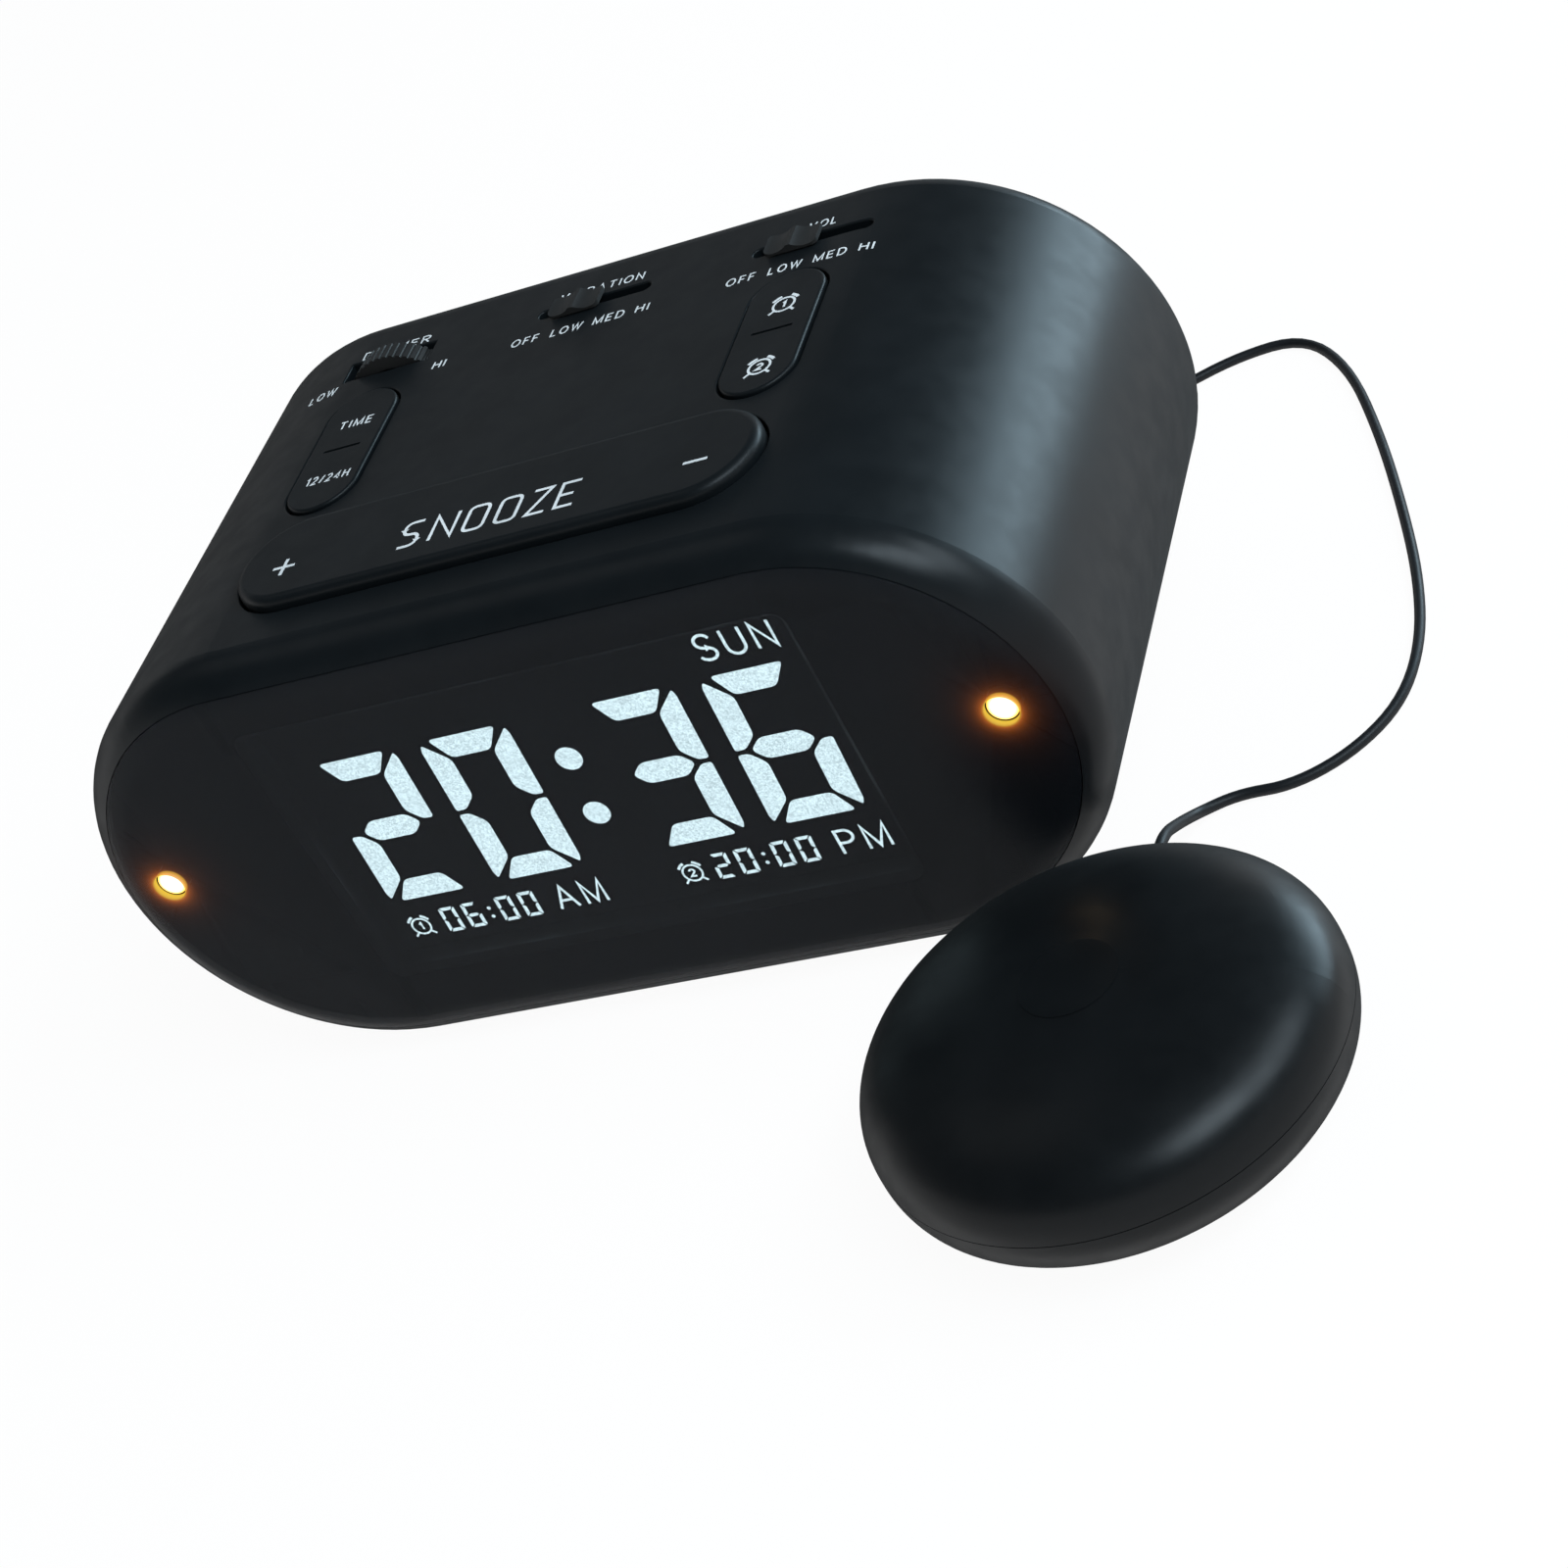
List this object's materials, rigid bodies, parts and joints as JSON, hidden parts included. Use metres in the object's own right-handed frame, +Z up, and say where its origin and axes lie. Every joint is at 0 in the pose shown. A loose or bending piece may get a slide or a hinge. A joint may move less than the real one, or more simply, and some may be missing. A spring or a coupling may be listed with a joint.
{
  "type": "bed shaker alarm clock",
  "caption": "Bedside clock with rounded ends, a wide display behind a dark lens, controls on top, and a round vibrating pad on a thin cord.",
  "frame": {"origin": "centre of the clock's foot ring, on the surface that it stands on", "axes": "+X to the viewer's right, +Y towards the back of the clock, +Z up"},
  "size_m": [0.2067, 0.2264, 0.0833],
  "materials": {
    "case_plastic": "satin, soft-touch black",
    "key_plastic": "satin black",
    "pad_plastic": "soft-touch black",
    "black_plastic": "moulded",
    "white_plastic": "moulded",
    "plug_plastic": "moulded",
    "tinted_lens": "polished, dark tint",
    "display_glass": "black display face",
    "light_pipe": "clear",
    "amber_lamp": "clear amber",
    "circuit_board": "solder mask",
    "steel_screws": "blackened",
    "steel_pins": "ground",
    "steel_parts": "black",
    "motor_can": "plated",
    "weight_steel": "sintered",
    "cell_steel": "plated",
    "paper_cone": "pressed paper",
    "foam": "closed-cell foam",
    "rubber_foot": "matte",
    "cord_rubber": "satin",
    "ribbon_grey": "flat cable",
    "tie_fabric": "hook and loop"
  },
  "bodies": {
    "clock": {"case_shell": "case_plastic", "front_lens": "tinted_lens", "back_cover": "case_plastic", "cover_screws": "steel_screws", "display_gasket": "foam", "display_panel": "display_glass", "display_housing": "white_plastic", "main_board": "circuit_board", "main_board_screws": "steel_screws", "light_pipes": "light_pipe", "signal_leds": "amber_lamp", "key_board": "circuit_board", "key_board_screws": "steel_screws", "tact_switches": "black_plastic", "rocker_pins": "steel_pins", "dimmer_pot": "black_plastic", "slide_switches": "black_plastic", "speaker_basket": "steel_parts", "speaker_cone": "paper_cone", "speaker_screws": "steel_screws", "socket_board": "circuit_board", "socket_board_screws": "steel_screws", "dc_socket": "black_plastic", "shaker_jack": "black_plastic", "coin_cell": "cell_steel", "cell_contacts": "cell_steel", "battery_door": "case_plastic", "battery_door_screw": "steel_screws", "foot_ring": "rubber_foot", "key_ribbon": "ribbon_grey", "socket_ribbon": "ribbon_grey", "speaker_lead": "ribbon_grey", "shaker_top_shell": "pad_plastic", "shaker_bottom_shell": "pad_plastic", "shaker_screws": "steel_screws", "shaker_motor": "motor_can", "motor_cradles": "foam", "shaker_gland": "cord_rubber", "cord_front": "cord_rubber", "cord_coil": "cord_rubber", "cord_rear": "cord_rubber", "cord_tie": "tie_fabric", "cord_plug": "plug_plastic"},
    "snooze_slide": {"snooze_carrier": "white_plastic", "snooze_pin": "steel_pins"},
    "snooze_key": {"snooze_bar": "key_plastic"},
    "time_key": {"time_rocker": "key_plastic"},
    "alarm_key": {"alarm_rocker": "key_plastic"},
    "dimmer": {"dimmer_wheel": "key_plastic"},
    "vibration_slider": {"vibration_knob": "key_plastic"},
    "volume_slider": {"volume_knob": "key_plastic"},
    "shaker_rotor": {"motor_shaft": "steel_pins", "eccentric_weight": "weight_steel"}
  },
  "joints": [
    {"name": "snooze_press", "type": "slide", "parent": "clock", "child": "snooze_slide", "axis": [0, 0, -1], "range_m": [0, 0.001], "stiffness_N_per_m": 900, "springref_m": -0.001},
    {"name": "snooze_rock", "type": "hinge", "parent": "snooze_slide", "child": "snooze_key", "pos_m": [0, -0.0237, 0.0764], "axis": [0, 1, 0], "range_deg": [-1.2, 1.2], "stiffness_Nm_per_rad": 1.2},
    {"name": "time_rock", "type": "hinge", "parent": "clock", "child": "time_key", "pos_m": [-0.04, 0.0082, 0.0764], "axis": [1, 0, 0], "range_deg": [-3, 3], "stiffness_Nm_per_rad": 0.2},
    {"name": "alarm_rock", "type": "hinge", "parent": "clock", "child": "alarm_key", "pos_m": [0.04, 0.0082, 0.0764], "axis": [1, 0, 0], "range_deg": [-3, 3], "stiffness_Nm_per_rad": 0.2},
    {"name": "dimmer_turn", "type": "hinge", "parent": "clock", "child": "dimmer", "pos_m": [-0.0401, 0.0335, 0.0733], "axis": [0, 1, 0], "range_deg": [-135, 135]},
    {"name": "vibration_select", "type": "slide", "parent": "clock", "child": "vibration_slider", "axis": [1, 0, 0], "range_m": [-0.0062, 0.0124]},
    {"name": "volume_select", "type": "slide", "parent": "clock", "child": "volume_slider", "axis": [1, 0, 0], "range_m": [-0.0062, 0.0124]},
    {"name": "motor_spin", "type": "hinge", "parent": "clock", "child": "shaker_rotor", "pos_m": [0.0843, -0.0892, 0.01375], "axis": [1, 0, 0], "continuous": true}
  ]
}
